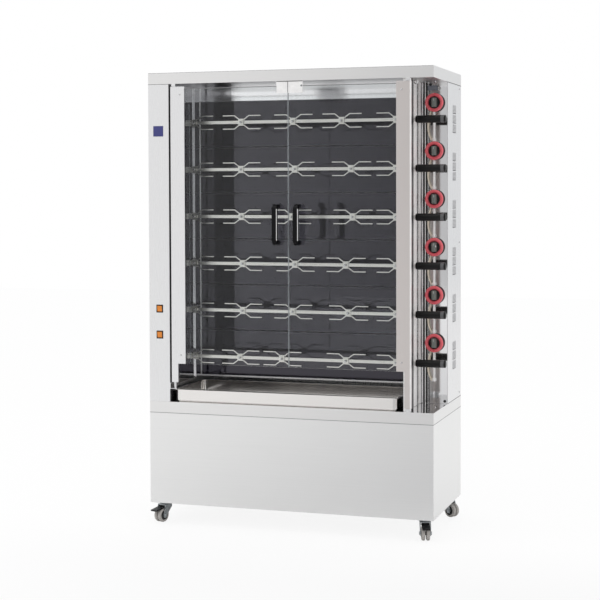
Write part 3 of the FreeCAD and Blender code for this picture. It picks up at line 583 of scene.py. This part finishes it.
# ---- Glass-ceramic back ----------------------------------------------------------------------------------
# Six black glass-ceramic plates stand one above another behind the spits. They are glossy and slightly
# uneven, and thin bright trims close the chamber's left corner beside them.
def ceramic_glaze():
    """Black glaze: a mirror-smooth face with a very slow unevenness and a trace of fat haze."""
    material = bpy.data.materials.new("black_ceramic_glaze")
    material.use_nodes = True
    tree = material.node_tree
    shader = tree.nodes["Principled BSDF"]
    shader.inputs["Base Color"].default_value = (0.0085, 0.0075, 0.0125, 1)
    shader.inputs["IOR"].default_value = 1.64
    shader.inputs["Specular Tint"].default_value = (0.92, 0.88, 1.0, 1)
    coords = tree.nodes.new("ShaderNodeTexCoord")
    haze = tree.nodes.new("ShaderNodeTexNoise")
    haze.inputs["Scale"].default_value = 5.0
    rough = tree.nodes.new("ShaderNodeMapRange")
    rough.inputs["To Min"].default_value = 0.03
    rough.inputs["To Max"].default_value = 0.09
    tree.links.new(coords.outputs["Object"], haze.inputs["Vector"])
    tree.links.new(haze.outputs["Fac"], rough.inputs["Value"])
    tree.links.new(rough.outputs["Result"], shader.inputs["Roughness"])
    return material


tiles = round_edges(loose_copy("back_tiles", "ceramic_back"), 0.001)
settle(tiles, "root", ceramic_glaze(), "black_ceramic", "back_tiles")

# A bead closes the corner between the left lining and the plates.
LINING_LIP = 0.005
tile_low, tile_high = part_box("back_tiles")
lining_low, lining_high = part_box("left_lining")
lining_face = lining_high.x - LINING_LIP
bead = block("corner_bead", (lining_face, tile_low.y - 0.003, tile_low.z),
             (lining_face + 0.0025, tile_low.y, tile_high.z))
settle(round_edges(bead, 0.0008), "root", casing_steel, "stainless")

# A rib runs up the left lining, and a darker panel over the left end of the hood is painted shade.
rib_front = lining_low.y + 0.1852
rib = block("lining_rib", (lining_face + 0.0004, rib_front, tile_low.z),
            (lining_face + 0.005, rib_front + 0.003, bay_head - 0.001))
settle(round_edges(rib, 0.0006), "root", hood_steel, "stainless")
# The darker panel is painted shade, where the polished hood mirrors something dark.
HOOD_SHADE_WIDTH = 0.131
hood_shade_steel = brushed_metal("hood_painted_shade_stainless", (0.6, 0.59, 0.61), 0.12, (6, 600, 600), tone=0.3)
hood_low, hood_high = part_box("valance")
hood_shade_left = hood_low.x + 0.004
shade_panel = block("hood_shade_panel", (hood_shade_left, hood_low.y - 0.0008, hood_low.z + 0.0006),
               (hood_shade_left + HOOD_SHADE_WIDTH, hood_low.y, hood_high.z - 0.0006))
settle(round_edges(shade_panel, 0.0003), "root", hood_shade_steel, "stainless")


# ---- Doors -----------------------------------------------------------------------------------------------
# Each door is a frameless pane of 6 mm toughened glass let into a brushed stainless stile that carries the
# pivots. It has a black moulded bow handle and a bright patch plate at its inner top corner.
def pane_glass():
    """Clear toughened glass that lets light through unshadowed."""
    material = bpy.data.materials.new("toughened_glass")
    material.use_nodes = True
    tree = material.node_tree
    shader = tree.nodes["Principled BSDF"]
    shader.inputs["Base Color"].default_value = (0.93, 0.95, 0.95, 1)
    shader.inputs["Roughness"].default_value = 0.0
    shader.inputs["IOR"].default_value = 1.28
    shader.inputs["Transmission Weight"].default_value = 1.0
    clear = tree.nodes.new("ShaderNodeBsdfTransparent")
    clear.inputs["Color"].default_value = (0.93, 0.95, 0.95, 1)
    path = tree.nodes.new("ShaderNodeLightPath")
    mix = tree.nodes.new("ShaderNodeMixShader")
    tree.links.new(path.outputs["Is Shadow Ray"], mix.inputs["Fac"])
    tree.links.new(shader.outputs[0], mix.inputs[1])
    tree.links.new(clear.outputs[0], mix.inputs[2])
    tree.links.new(mix.outputs[0], tree.nodes["Material Output"].inputs["Surface"])
    return material


door_pane = pane_glass()
ground_glass = plain_material("ground_glass_edge", (0.60, 0.64, 0.66), 0.35)
glossy_black = plain_material("glossy_black", (0.004, 0.004, 0.005), 0.2, specular=0.12)
# The bright strips on the stile's edge and the handle's corner are painted highlight; the patch plates are
# chrome.
chrome_and_highlight = plain_material("chrome_and_highlight", (0.96, 0.95, 0.94), 0.3)
# The right stile's steel is a darker, warmer copy of the left's: its darkness is painted shade.
shaded_stile_steel = brushed_metal("warm_shaded_stainless", (0.70, 0.655, 0.635), 0.3, (900, 900, 6))
stile_steels = {"left": upright_steel, "right": shaded_stile_steel}
stile_screw_x = {"left": panel_high.x - 1.0053, "right": panel_high.x - 0.1194}
STILE_SCREW_HEIGHTS = (1.682, 0.667)
patch_sides = {"left": (DOORS_MEET[0], -0.0052), "right": (-0.0028, DOORS_MEET[1])}
PATCH_FOOT = 1.6785
PATCH_HEAD = 1.7215
PATCH_PROUD = 0.0028
LINE_HALF = 0.060
BOLT_FROM_END = 0.0085
bolt_profile = [(0.008, 0.0), (0.008, 0.0012), (0.0055, 0.0012), (0.0055, 0.002), (0.0048, 0.0038),
                (0.0022, 0.0042), (0.0018, 0.0028)]
for side in ("left", "right"):
    body = "door_" + side
    pane_low, pane_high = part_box("door_glass_" + side)
    pane = round_edges(loose_copy("door_glass_" + side, "pane_" + side), 0.0006)
    settle(pane, body, door_pane, "clear_glass", "door_glass_" + side)
    stile = round_edges(loose_copy("door_stile_" + side, "stile_" + side), 0.0008)
    settle(stile, body, stile_steels[side], "stainless", "door_stile_" + side)
    ground = pane_high.x if side == "left" else pane_low.x
    edge = block("ground_edge_" + side, (ground - 0.0004, pane_low.y + 0.0005, pane_low.z + 0.001),
                 (ground + 0.0004, pane_high.y - 0.0005, pane_high.z - 0.001))
    settle(round_edges(edge, 0.0002), body, ground_glass, "clear_glass")

    # A strip of painted highlight runs down the right stile's outer edge.
    stile_low, stile_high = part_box("door_stile_" + side)
    if side == "right":
        stile_highlight = block("stile_edge_highlight", (stile_high.x - 0.0062, stile_low.y - 0.0001, stile_low.z + 0.002),
                     (stile_high.x - 0.0008, stile_low.y + 0.0004, stile_high.z - 0.002))
        settle(round_edges(stile_highlight, 0.00008), body, chrome_and_highlight, None)
    screws = [pan_head("screw", (stile_screw_x[side], stile_low.y, z), FACING_FRONT)
              for z in STILE_SCREW_HEIGHTS]
    settle(joined("stile_screws_" + side, screws), body, screw_zinc, "stainless")

    # A strip of painted highlight runs down the handle's right front corner, and two bolts go through the
    # pane.
    handle = round_edges(loose_copy("door_handle_" + side, "bow_handle_" + side), 0.0045, 5, 40)
    settle(handle, body, glossy_black, "black_plastic", "door_handle_" + side)
    grip_low, grip_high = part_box("door_handle_" + side)
    middle = (grip_low.z + grip_high.z) / 2
    line = block("handle_highlight_" + side, (grip_high.x - 0.0026, grip_low.y + 0.0002, middle - LINE_HALF),
                 (grip_high.x - 0.0004, grip_low.y + 0.0035, middle + LINE_HALF))
    settle(round_edges(line, 0.0006), body, chrome_and_highlight, None)
    bolt_x = (grip_low.x + grip_high.x) / 2
    bolts = [set_at(turned("bolt", bolt_profile, 24), (bolt_x, pane_high.y, z), FACING_BACK)
             for z in (grip_low.z + BOLT_FROM_END, grip_high.z - BOLT_FROM_END)]
    settle(joined("handle_bolts_" + side, bolts), body, screw_zinc, "stainless")

    # A patch plate clamps the pane's inner top corner, and a grey seal runs along its top edge.
    patch_left, patch_right = patch_sides[side]
    patch = block("patch_plate_" + side, (patch_left, pane_low.y - PATCH_PROUD, PATCH_FOOT),
                  (patch_right, pane_low.y - 0.0002, PATCH_HEAD))
    settle(round_edges(patch, 0.0008, 3), body, chrome_and_highlight, "stainless")
    seal = block("pane_top_edge_" + side, (pane_low.x + 0.001, pane_low.y - 0.0001, pane_high.z - 0.0024),
                 (pane_high.x - 0.001, pane_high.y + 0.0001, pane_high.z - 0.0002))
    settle(round_edges(seal, 0.00008), body, grey_seal_and_seam_shade, None)

    # The left pane carries a narrow pale strip down its hinge side, behind the glass.
    if side == "left":
        strip = block("pane_strip", (pane_low.x + 0.0283, pane_high.y, pane_low.z + 0.008),
                      (pane_low.x + 0.0301, pane_high.y + 0.0005, pane_high.z - 0.062))
        settle(round_edges(strip, 0.0002), body, ground_glass, "clear_glass")

fittings = round_edges(loose_copy("door_fittings", "door_hardware"), 0.0006)
settle(fittings, "root", upright_steel, "stainless", "door_fittings")
zinc_dark = brushed_metal("zinc_screws", (0.3, 0.31, 0.32), 0.4, (90, 90, 90), tone=0.3)
pivot_place = (0.0505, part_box("door_glass_right")[0].y - PATCH_PROUD, 1.7056)
pivot_screw = pan_head("pivot_screw", pivot_place, FACING_FRONT)
settle(pivot_screw, "door_right", zinc_dark, "galvanised")


# ---- Drip tray -------------------------------------------------------------------------------------------
# One pressing of thin stainless with rounded corners and a flat rim, that slides out over the deck to be
# emptied. Its grain runs from side to side.
tray = round_edges(loose_copy("drip_tray", "dripping_tray"), 0.0008, 2, 40)
tray_steel = brushed_metal("tray_stainless", (0.82, 0.80, 0.78), 0.12, (6, 900, 900))
settle(tray, "tray", tray_steel, "stainless", "drip_tray")


# ---- Switches --------------------------------------------------------------------------------------------
# Two illuminated amber rockers in black snap-in frames on the drive column, one above the other. Each lens
# is moulded in one piece and tilts in its frame.
black_moulding = plain_material("black_moulding", (0.008, 0.008, 0.009), 0.36, specular=0.3)
amber = plain_material("amber_lens", (0.85, 0.27, 0.03), 0.2)
bezels = round_edges(loose_copy("switch_bezels", "rocker_frames"), 0.0005)
settle(bezels, "root", black_moulding, "black_plastic", "switch_bezels")
for which in ("upper", "lower"):
    lens = round_edges(loose_copy("rocker_" + which, "rocker_lens_" + which), 0.0008, 3)
    settle(lens, "rocker_" + which, amber, "amber", "rocker_" + which)


# ---- Spits -----------------------------------------------------------------------------------------------
# Square drawn-steel bars with forks welded from square wire, turned by sockets in the left lining. The free
# ends carry black heat-proof grips.
spit_steel = brushed_metal("spit_steel", (0.72, 0.70, 0.665), 0.28, (8, 300, 300))
grip_black = plain_material("grip_phenolic", (0.008, 0.0075, 0.0075), 0.42, speck=0.2, specular=0.25)
# The grip's grey band is painted highlight.
grip_highlight_grey = plain_material("grip_highlight_band", (0.12, 0.12, 0.125), 0.35)
pale_steel = plain_material("pale_fold", (0.86, 0.84, 0.82), 0.3, metallic=0.15)
FORK_FIRST = lining_face + 0.034
FORK_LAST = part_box("right_wall")[0].x - 0.054
FORK_PITCH = (FORK_LAST - FORK_FIRST) / 4
FORK_SLIPS_MM = ((-8, 0, -9), (-9, 7, 28), (-8, -6, 34), (-4, 7, 6), (-4, -3, 16), (-16, -48, 6))
COLLAR_FACE = 0.0102
BAND_FROM_END = 0.020
FERRULE_LENGTH = 0.012
band_profile = [(0.0136, 0.0), (0.0144, 0.0003), (0.0146, 0.0012), (0.0146, 0.0118), (0.0144, 0.0127),
                (0.0136, 0.013)]
ferrule_profile = [(0.0064, 0.0), (0.0095, 0.0003), (0.0108, 0.0015), (0.0108, 0.0105), (0.0118, 0.0112),
                   (0.0118, 0.0119), (0.0064, 0.0119)]


def thumb_screw(name):
    """Knurled thumb screw on the Z axis: a short shank and a coin-edged head with a turned-down rim."""
    profile = [(0.0016, 0.0), (0.0016, 0.003), (0.0036, 0.003), (0.0046, 0.0036), (0.0046, 0.0072),
               (0.0038, 0.0082), (0.0014, 0.0085)]
    screw = turned(name, profile, 20)
    bpy.ops.object.mode_set(mode="EDIT")
    bpy.ops.mesh.select_all(action="DESELECT")
    bpy.ops.object.mode_set(mode="OBJECT")
    for n, face in enumerate(screw.data.polygons):
        on_rim = abs(face.normal.z) < 0.1 and face.center.xy.length > 0.0042
        face.select = on_rim and n % 2 == 0
    bpy.ops.object.mode_set(mode="EDIT")
    bpy.ops.mesh.select_mode(type="FACE")
    bpy.ops.mesh.inset(thickness=0.0001, depth=-0.0002, use_individual=True)
    bpy.ops.object.mode_set(mode="OBJECT")
    return screw


for number, slips in zip("123456", FORK_SLIPS_MM):
    body = "spit_" + number
    bar_low, bar_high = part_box("spit_" + number)
    axis_y = (bar_low.y + bar_high.y) / 2
    axis_z = (bar_low.z + bar_high.z) / 2

    # The end forks stand alike on every spit. The three between them are set by hand, not quite evenly.
    collars = [FORK_FIRST, FORK_LAST] + [FORK_FIRST + (k + 1) * FORK_PITCH + slip / 1000
                                         for k, slip in enumerate(slips)]
    screws = [set_at(thumb_screw("screw"), (x, axis_y - COLLAR_FACE, axis_z), FACING_FRONT) for x in collars]
    settle(joined("fork_screws_" + number, screws), body, screw_zinc, "spit_steel")
    skewer = round_edges(loose_copy("spit_" + number, "skewer_" + number), 0.0011, 2)
    settle(skewer, body, spit_steel, "spit_steel", "spit_" + number)
    drive = round_edges(loose_copy("spit_drive_" + number, "socket_" + number), 0.0006)
    settle(drive, body, spit_steel, "spit_steel", "spit_drive_" + number)

    # The grip's waist near its end holds a grey band of painted highlight; a pale ferrule sits where the bar
    # goes in.
    grip_low, grip_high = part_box("spit_grip_" + number)
    end = grip_high.x - grip_low.x
    grip_profile = [(0.0112, 0.0), (0.0132, 0.0006), (0.0142, 0.003), (0.0145, 0.008),
                    (0.0145, end - 0.021), (0.0138, end - 0.020), (0.0138, end - 0.007),
                    (0.0145, end - 0.006), (0.0144, end - 0.003), (0.0134, end - 0.001), (0.011, end)]
    hand = turned("hand_grip_" + number, grip_profile, 48)
    set_at(hand, (grip_low.x, axis_y, axis_z), FACING_RIGHT)
    settle(hand, body, grip_black, "black_plastic", "spit_grip_" + number)
    band = turned("grip_highlight_ring_" + number, band_profile, 48, hollow=True)
    set_at(band, (grip_high.x - BAND_FROM_END, axis_y, axis_z), FACING_RIGHT)
    settle(band, body, grip_highlight_grey, "black_plastic")
    ferrule = turned("grip_ferrule_" + number, ferrule_profile, 40, hollow=True)
    set_at(ferrule, (grip_low.x - FERRULE_LENGTH, axis_y, axis_z), FACING_RIGHT)
    settle(ferrule, body, pale_steel, "spit_steel")


# ---- Gas controls ----------------------------------------------------------------------------------------
# Six gas knobs on taps that stand behind the polished panel: a glossy red ring, a sunk black face and a grey
# grip bar with a white pointer. Below each come a white pilot tube with its nut and a bowed cream lead.
red_moulding = plain_material("red_moulding", (0.86, 0.125, 0.155), 0.22, coat=0.3)
knob_black = plain_material("knob_face", (0.012, 0.012, 0.012), 0.4)
knob_grey = plain_material("knob_grip_grey", (0.2, 0.215, 0.2), 0.38)
pointer_white = plain_material("pointer_white", (0.75, 0.75, 0.72), 0.4)
cream_sleeve = plain_material("cream_sleeve", (0.78, 0.70, 0.58), 0.45)
brass = brushed_metal("pipe_brass", (0.66, 0.58, 0.42), 0.3, (40, 40, 40))


def knob_grip():
    """Grip bar on the Z axis, narrower at the top, with well rounded edges."""
    grip = block("grip", (-0.0115, -0.019, 0.007), (0.0115, 0.019, 0.025))
    bpy.ops.object.mode_set(mode="EDIT")
    bpy.ops.mesh.select_all(action="DESELECT")
    bpy.ops.object.mode_set(mode="OBJECT")
    for face in grip.data.polygons:
        face.select = face.normal.z > 0.9
    bpy.ops.object.mode_set(mode="EDIT")
    bpy.ops.mesh.select_mode(type="FACE")
    bpy.ops.transform.resize(value=(0.62, 0.9, 1), center_override=(0, 0, 0.025))
    bpy.ops.object.mode_set(mode="OBJECT")
    return round_edges(grip, 0.0022, 4)


def bowed_lead(name, points, radius):
    """A sleeved lead on one smooth curve drawn along a few points."""
    bpy.ops.curve.primitive_nurbs_path_add()
    lead = bpy.context.object
    lead.name = name
    spline = lead.data.splines[0]
    for point, place in zip(spline.points, points):
        point.co = (*place, 1)
    lead.data.bevel_depth = radius
    lead.data.bevel_resolution = 4
    lead.data.use_fill_caps = True
    alone(lead)
    bpy.ops.object.convert(target="MESH")
    bpy.ops.object.shade_smooth_by_angle(angle=math.radians(50))
    return lead


knob_back = panel_low.y - 0.005
skirt_profile = [(0.0225, 0.0005), (0.0335, 0.0), (0.0355, 0.0008), (0.0362, 0.003), (0.0362, 0.0098),
                 (0.0350, 0.0104), (0.0225, 0.0104)]
ring_profile = [(0.0225, 0.0106), (0.0352, 0.0106), (0.0361, 0.0114), (0.0361, 0.0128), (0.0354, 0.0150),
                (0.0334, 0.0178), (0.0305, 0.0197), (0.0278, 0.0199), (0.0252, 0.0184), (0.0234, 0.0156),
                (0.0225, 0.0125)]
face_profile = [(0.0226, 0.0015), (0.0226, 0.0112), (0.0205, 0.0112), (0.0195, 0.0072), (0.012, 0.0068)]
for number in "123456":
    body = "knob_" + number
    knob_low, knob_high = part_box("gas_knob_" + number)
    knob_x = (knob_low.x + knob_high.x) / 2
    knob_z = (knob_low.z + knob_high.z) / 2
    place = (knob_x, knob_back, knob_z)
    skirt = turned("knob_skirt_" + number, skirt_profile, 64, hollow=True)
    settle(set_at(skirt, place, FACING_FRONT), body, knob_black, "black_plastic")
    ring = turned("knob_ring_" + number, ring_profile, 64, hollow=True)
    settle(set_at(ring, place, FACING_FRONT), body, red_moulding, "red_plastic", "gas_knob_" + number)
    face = turned("knob_face_" + number, face_profile, 48)
    settle(set_at(face, place, FACING_FRONT), body, knob_black, "black_plastic")
    grip = set_at(knob_grip(), place, FACING_FRONT)
    grip.name = "knob_grip_" + number
    settle(grip, body, knob_grey, "black_plastic")
    pointer = block("knob_pointer_" + number, (-0.0008, 0.006, 0.0246), (0.0008, 0.016, 0.0252))
    round_edges(pointer, 0.0002)
    settle(set_at(pointer, place, FACING_FRONT), body, pointer_white, None)

# The taps' stems stop at the panel: what the CAD node has in front of it is inside the knobs.
pipes = loose_copy("gas_train", "gas_pipework")
bpy.ops.object.mode_set(mode="EDIT")
bpy.ops.mesh.select_mode(type="VERT")
bpy.ops.mesh.select_all(action="DESELECT")
bpy.ops.object.mode_set(mode="OBJECT")
for vertex in pipes.data.vertices:
    vertex.select = vertex.co.y < panel_low.y + 0.0005
bpy.ops.object.mode_set(mode="EDIT")
bpy.ops.mesh.delete(type="VERT")
bpy.ops.object.mode_set(mode="OBJECT")
settle(round_edges(pipes, 0.0005), "root", brass, "brass", "gas_train")

# A pilot tube runs down from under each knob to a nut above the next one, or above the deck. Its lead bows
# out to the left, from the tap to beside the nut.
TUBE_RADIUS = 0.0036
LEAD_RADIUS = 0.0034
LEAD_TOP = 0.028
knob_boxes = [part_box("gas_knob_" + number) for number in "123456"]
knob_heights = [(low.z + high.z) / 2 for low, high in knob_boxes]
tap_pitch = knob_heights[0] - knob_heights[1]
tube_place = (knob_x - 0.003, panel_low.y - 0.0075, 0)
lead_x = panel_high.x - 0.062
lead_y = panel_low.y - 0.010
for number, top in zip("123456", knob_heights):
    foot = max(top - tap_pitch + 0.048, bay_foot + 0.024)
    tube = turned("tube", [(TUBE_RADIUS, foot - 0.012), (TUBE_RADIUS, top - 0.036)], 24)
    nut = turned("nut", [(0.0066, foot - 0.012), (0.0072, foot - 0.011), (0.0072, foot - 0.001),
                         (0.0062, foot), (0.0045, foot), (0.0045, foot + 0.004), (0.0032, foot + 0.005)], 6)
    pilot = set_at(joined("pilot_tube_" + number, [tube, nut]), tube_place)
    settle(pilot, "root", white_enamel_and_highlight, "stainless")
    run = top - 0.030 - foot
    lead = bowed_lead("pilot_lead_" + number, [
        (lead_x, lead_y, top - LEAD_TOP), (lead_x - 0.006, lead_y, top - LEAD_TOP - run * 0.25),
        (lead_x - 0.019, lead_y, top - LEAD_TOP - run * 0.55), (lead_x - 0.012, lead_y, foot + run * 0.12),
        (lead_x + 0.004, lead_y, foot - 0.008)], LEAD_RADIUS)
    settle(lead, "root", cream_sleeve, None)


# ---- Chain drive -----------------------------------------------------------------------------------------
# A geared motor inside the column turns the spits' sockets through a roller chain and sprockets, all zinc
# plated. The casing hides it.
zinc = brushed_metal("zinc_plate", (0.44, 0.465, 0.48), 0.33, (90, 90, 90), tone=0.3)
chain = round_edges(loose_copy("chain_drive", "chain_and_motor"), 0.0005)
settle(chain, "root", zinc, "galvanised", "chain_drive")


# ---- Castors ---------------------------------------------------------------------------------------------
# Four swivel castors with twin grey treads on black hubs, in zinc-plated forks under a ball race. The front
# pair has black moulded brake pedals.
tread_grey = plain_material("grey_tread", (0.42, 0.40, 0.38), 0.55)
hub_black = plain_material("hub_black", (0.03, 0.03, 0.03), 0.45)
CASTOR_TURN = {"fl": -20.0, "fr": 17.0, "rl": -25.0, "rr": 60.0}
CASTOR_INSET = (0.042, 0.045)
TRAIL = 0.020
WHEEL_RADIUS = 0.0275
TREAD_HALF = 0.016
TREAD_WIDTH = 0.014
CHEEK_FACE = 0.0205
AXLE_HEAD = 0.013
plates = round_edges(loose_copy("castor_plates", "castor_mountings"), 0.0006)
settle(plates, "root", zinc, "galvanised", "castor_plates")


def tyre():
    """One tread on the X axis, rounded at both shoulders."""
    profile = [(0.0185, 0.0), (0.0235, 0.0003), (0.0262, 0.0018), (0.0273, 0.0045), (0.0275, 0.007),
               (0.0273, 0.0095), (0.0262, 0.0122), (0.0235, 0.0137), (0.0185, 0.014)]
    return set_at(turned("tyre", profile, 48, hollow=True), (0, 0, 0), FACING_RIGHT)


def hub():
    """One hub disc on the X axis with a raised boss and a dished web."""
    profile = [(0.0042, 0.0), (0.0078, 0.0), (0.0084, 0.0006), (0.0088, 0.0022), (0.016, 0.003),
               (0.0175, 0.0012), (0.0187, 0.0012), (0.0187, 0.0128), (0.0175, 0.0128), (0.0088, 0.0115),
               (0.0078, 0.016), (0.0042, 0.016)]
    return set_at(turned("hub", profile, 48, hollow=True), (0, 0, 0), FACING_RIGHT)


def bolt_head(name, across):
    """Hexagon bolt head on the Z axis with a chamfered top on a washer."""
    half = across / 2
    washer = turned(name, [(half * 1.25, 0.0), (half * 1.25, 0.0008)], 24)
    head = turned("hexagon", [(half, 0.0008), (half, 0.0028), (half * 0.84, 0.0034)], 6)
    return joined(name, [washer, head])


race_profile = [(0.0062, 0.0690), (0.0165, 0.0688), (0.0192, 0.0700), (0.0196, 0.0716), (0.0180, 0.0722),
                (0.0180, 0.0730), (0.0200, 0.0738), (0.0198, 0.0752), (0.0170, 0.0764), (0.0062, 0.0766)]
body_low, body_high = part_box("base_cabinet")
for key in ("fl", "fr", "rl", "rr"):
    x = body_low.x + CASTOR_INSET[0] if key[1] == "l" else body_high.x - CASTOR_INSET[0]
    y = body_low.y + CASTOR_INSET[1] if key[0] == "f" else body_high.y - CASTOR_INSET[1]
    stand = ((x, y, 0), (0, 0, CASTOR_TURN[key]))
    fork = round_edges(loose_copy("castor_fork_" + key, "fork_" + key), 0.0006)
    settle(fork, "castor_" + key, zinc, "galvanised", "castor_fork_" + key)
    race = turned("ball_race_" + key, race_profile, 40, hollow=True)
    settle(set_at(race, *stand), "castor_" + key, zinc, "galvanised")
    heads = [set_at(bolt_head("axle_head", AXLE_HEAD), (side * CHEEK_FACE, -TRAIL, WHEEL_RADIUS),
                    (0, 90 * side, 0)) for side in (1, -1)]
    settle(set_at(joined("axle_heads_" + key, heads), *stand), "castor_" + key, zinc, "galvanised")
    tyres = [set_at(tyre(), (start, -TRAIL, WHEEL_RADIUS))
             for start in (-TREAD_HALF, TREAD_HALF - TREAD_WIDTH)]
    settle(set_at(joined("twin_tyres_" + key, tyres), *stand), "wheel_" + key, tread_grey, "grey_rubber",
           "castor_wheel_" + key)
    hubs = [set_at(hub(), (-TREAD_HALF, -TRAIL, WHEEL_RADIUS)),
            set_at(hub(), (TREAD_HALF, -TRAIL, WHEEL_RADIUS), (0, 0, 180))]
    settle(set_at(joined("twin_hubs_" + key, hubs), *stand), "wheel_" + key, hub_black, "black_plastic")
for key in ("fl", "fr"):
    pedal = round_edges(loose_copy("brake_pedal_" + key, "pedal_" + key), 0.0015, 3)
    settle(pedal, "pedal_" + key, black_moulding, "black_plastic", "brake_pedal_" + key)
